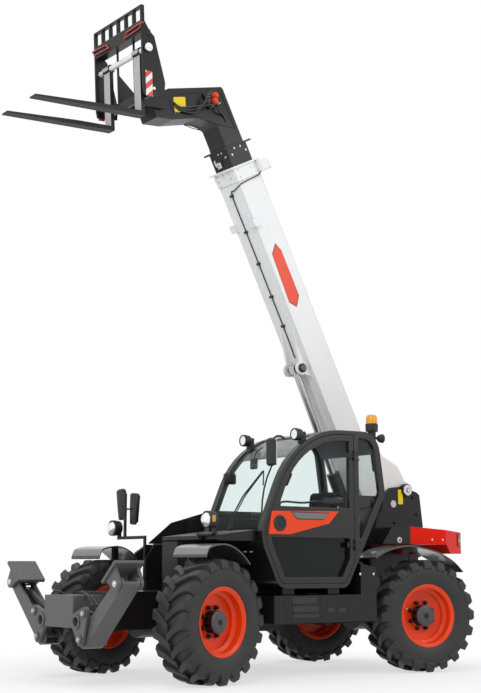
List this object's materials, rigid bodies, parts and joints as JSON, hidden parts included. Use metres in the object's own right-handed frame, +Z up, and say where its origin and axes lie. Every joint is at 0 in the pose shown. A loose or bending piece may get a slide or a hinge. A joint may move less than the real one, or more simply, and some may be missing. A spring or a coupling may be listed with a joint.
{
  "type": "telehandler",
  "caption": "Telescopic handler with a raised two-stage boom, fork carriage, side cab, four steered wheels and folding front stabilisers.",
  "frame": {"origin": "on the ground below the middle of the whole part with the boom raised as shown", "axes": "+X forward, +Y to the machine's left, +Z up"},
  "size_m": [5.3086, 2.5238, 6.8682],
  "materials": {
    "black_paint": "semi-gloss black paint",
    "cab_paint": "satin dark grey paint",
    "glass": "clear tinted glass",
    "dark_plastic": "grained dark plastic",
    "seat_fabric": "black woven fabric",
    "engine_iron": "cast iron",
    "orange_paint": "gloss orange paint",
    "lamp_lens": "clear lens",
    "amber_lens": "amber lens",
    "white_paint": "gloss white paint",
    "dark_paint": "satin dark grey paint",
    "chrome": "hard chrome",
    "tyre": "black rubber"
  },
  "bodies": {
    "machine": {"chassis_frame": "black_paint", "boom_tower": "black_paint", "cab_mounts": "black_paint", "front_axle": "black_paint", "rear_axle": "black_paint", "driveline": "black_paint", "stabiliser_beam": "dark_paint", "cab_frame": "cab_paint", "cab_glass": "glass", "dashboard": "dark_plastic", "seat": "seat_fabric", "engine_block": "engine_iron", "engine_pod": "black_paint", "rear_body": "orange_paint", "rear_plates": "black_paint", "step_box": "cab_paint", "front_deck": "black_paint", "lamp_arms": "black_paint", "lamps": "lamp_lens", "mirrors": "dark_plastic", "beacon": "amber_lens"},
    "knuckle_fl": {"knuckle_fl": "black_paint"},
    "knuckle_fr": {"knuckle_fr": "black_paint"},
    "knuckle_rl": {"knuckle_rl": "black_paint"},
    "knuckle_rr": {"knuckle_rr": "black_paint"},
    "wheel_fl": {"rim_fl": "orange_paint", "tyre_fl": "tyre"},
    "wheel_fr": {"rim_fr": "orange_paint", "tyre_fr": "tyre"},
    "wheel_rl": {"rim_rl": "orange_paint", "tyre_rl": "tyre"},
    "wheel_rr": {"rim_rr": "orange_paint", "tyre_rr": "tyre"},
    "door": {"door_frame": "cab_paint", "door_glass": "glass", "door_panel": "orange_paint"},
    "hood": {"engine_hood": "black_paint"},
    "boom": {"boom_outer": "white_paint"},
    "boom_second": {"boom_middle": "dark_paint"},
    "boom_third": {"boom_inner": "dark_paint"},
    "carriage": {"carriage": "black_paint"},
    "fork_left": {"fork_left": "dark_paint"},
    "fork_right": {"fork_right": "dark_paint"},
    "lift_barrel": {"lift_barrel": "black_paint"},
    "lift_rod": {"lift_rod": "chrome"},
    "stab_leg_left": {"stab_leg_left": "dark_paint"},
    "stab_foot_left": {"stab_foot_left": "dark_paint"},
    "stab_barrel_left": {"stab_barrel_left": "black_paint"},
    "stab_rod_left": {"stab_rod_left": "chrome"},
    "stab_leg_right": {"stab_leg_right": "dark_paint"},
    "stab_foot_right": {"stab_foot_right": "dark_paint"},
    "stab_barrel_right": {"stab_barrel_right": "black_paint"},
    "stab_rod_right": {"stab_rod_right": "chrome"}
  },
  "joints": [
    {"name": "steer_front_left", "type": "hinge", "parent": "machine", "child": "knuckle_fl", "pos_m": [1.096, 0.73, 0.585], "axis": [0, 0, 1], "range_deg": [-47, 23]},
    {"name": "steer_front_right", "type": "hinge", "parent": "machine", "child": "knuckle_fr", "pos_m": [1.096, -0.73, 0.585], "axis": [0, 0, 1], "range_deg": [-47, 23]},
    {"name": "steer_rear_left", "type": "hinge", "parent": "machine", "child": "knuckle_rl", "pos_m": [-1.754, 0.73, 0.585], "axis": [0, 0, 1], "range_deg": [-23, 47]},
    {"name": "steer_rear_right", "type": "hinge", "parent": "machine", "child": "knuckle_rr", "pos_m": [-1.754, -0.73, 0.585], "axis": [0, 0, 1], "range_deg": [-23, 47]},
    {"name": "spin_fl", "type": "hinge", "parent": "knuckle_fl", "child": "wheel_fl", "pos_m": [1.05026, 0.94519, 0.585], "axis": [-0.2079, 0.9781, 0], "continuous": true},
    {"name": "spin_fr", "type": "hinge", "parent": "knuckle_fr", "child": "wheel_fr", "pos_m": [1.14174, -0.94519, 0.585], "axis": [-0.2079, 0.9781, 0], "continuous": true},
    {"name": "spin_rl", "type": "hinge", "parent": "knuckle_rl", "child": "wheel_rl", "pos_m": [-1.70826, 0.94519, 0.585], "axis": [0.2079, 0.9781, 0], "continuous": true},
    {"name": "spin_rr", "type": "hinge", "parent": "knuckle_rr", "child": "wheel_rr", "pos_m": [-1.79974, -0.94519, 0.585], "axis": [0.2079, 0.9781, 0], "continuous": true},
    {"name": "boom_lift", "type": "hinge", "parent": "machine", "child": "boom", "pos_m": [-2.389, -0.135, 1.98], "axis": [0, -1, 0], "range_deg": [-65, 4.4]},
    {"name": "lift_barrel_swing", "type": "hinge", "parent": "machine", "child": "lift_barrel", "pos_m": [-2.019, -0.135, 0.95], "axis": [0, -1, 0], "range_deg": [-56.19, 4.74]},
    {"name": "lift_rod_slide", "type": "slide", "parent": "lift_barrel", "child": "lift_rod", "axis": [0.4284, 0, 0.9036], "range_m": [-1.1321, 0.0813]},
    {"name": "boom_extend", "type": "slide", "parent": "boom", "child": "boom_second", "axis": [0.4602, 0, 0.8878], "range_m": [0, 2.9]},
    {"name": "boom_extend_inner", "type": "slide", "parent": "boom_second", "child": "boom_third", "axis": [0.4602, 0, 0.8878], "range_m": [0, 2.9]},
    {"name": "carriage_tilt", "type": "hinge", "parent": "boom_third", "child": "carriage", "pos_m": [1.05059, -0.135, 5.97982], "axis": [0, 1, 0], "range_deg": [-75, 50]},
    {"name": "fork_left_shift", "type": "slide", "parent": "carriage", "child": "fork_left", "axis": [0, 1, 0], "range_m": [-0.06, 0.085]},
    {"name": "fork_right_shift", "type": "slide", "parent": "carriage", "child": "fork_right", "axis": [0, -1, 0], "range_m": [-0.06, 0.085]},
    {"name": "cab_door", "type": "hinge", "parent": "machine", "child": "door", "pos_m": [-0.71337, 1.064, 1.7], "axis": [0, 0, 1], "range_deg": [0, 95]},
    {"name": "engine_hood_lift", "type": "hinge", "parent": "machine", "child": "hood", "pos_m": [0, -0.34, 1.655], "axis": [-1, 0, 0], "range_deg": [0, 55]},
    {"name": "stabiliser_left", "type": "hinge", "parent": "machine", "child": "stab_leg_left", "pos_m": [2.006, 0.41, 0.43], "axis": [-1, 0, 0], "range_deg": [0, 63]},
    {"name": "stabiliser_foot_left", "type": "hinge", "parent": "stab_leg_left", "child": "stab_foot_left", "pos_m": [2.006, 1.02, 0.945], "axis": [-1, 0, 0], "range_deg": [0, 157]},
    {"name": "stab_barrel_swing_left", "type": "hinge", "parent": "machine", "child": "stab_barrel_left", "pos_m": [2.006, 0.48, 0.67], "axis": [-1, 0, 0], "range_deg": [-1, 68.23]},
    {"name": "stab_rod_slide_left", "type": "slide", "parent": "stab_barrel_left", "child": "stab_rod_left", "axis": [0, 0.8882, 0.4595], "range_m": [-0.003, 0.2604]},
    {"name": "stabiliser_right", "type": "hinge", "parent": "machine", "child": "stab_leg_right", "pos_m": [2.006, -0.41, 0.43], "axis": [1, 0, 0], "range_deg": [0, 63]},
    {"name": "stabiliser_foot_right", "type": "hinge", "parent": "stab_leg_right", "child": "stab_foot_right", "pos_m": [2.006, -1.02, 0.945], "axis": [1, 0, 0], "range_deg": [0, 157]},
    {"name": "stab_barrel_swing_right", "type": "hinge", "parent": "machine", "child": "stab_barrel_right", "pos_m": [2.006, -0.48, 0.67], "axis": [1, 0, 0], "range_deg": [-1, 68.23]},
    {"name": "stab_rod_slide_right", "type": "slide", "parent": "stab_barrel_right", "child": "stab_rod_right", "axis": [0, -0.8882, 0.4595], "range_m": [-0.003, 0.2604]}
  ],
  "couplings": [
    {"joint": "steer_front_right", "follows": "steer_front_left", "ratio": 1},
    {"joint": "steer_rear_right", "follows": "steer_rear_left", "ratio": 1},
    {"joint": "lift_barrel_swing", "follows": "boom_lift", "ratio": 0.849},
    {"joint": "lift_rod_slide", "follows": "boom_lift", "m_per_rad": 0.9935},
    {"joint": "boom_extend_inner", "follows": "boom_extend", "ratio": 1},
    {"joint": "stab_barrel_swing_left", "follows": "stabiliser_left", "ratio": 1.0672},
    {"joint": "stab_rod_slide_left", "follows": "stabiliser_left", "m_per_rad": 0.2341},
    {"joint": "stab_barrel_swing_right", "follows": "stabiliser_right", "ratio": 1.0672},
    {"joint": "stab_rod_slide_right", "follows": "stabiliser_right", "m_per_rad": 0.2341}
  ]
}
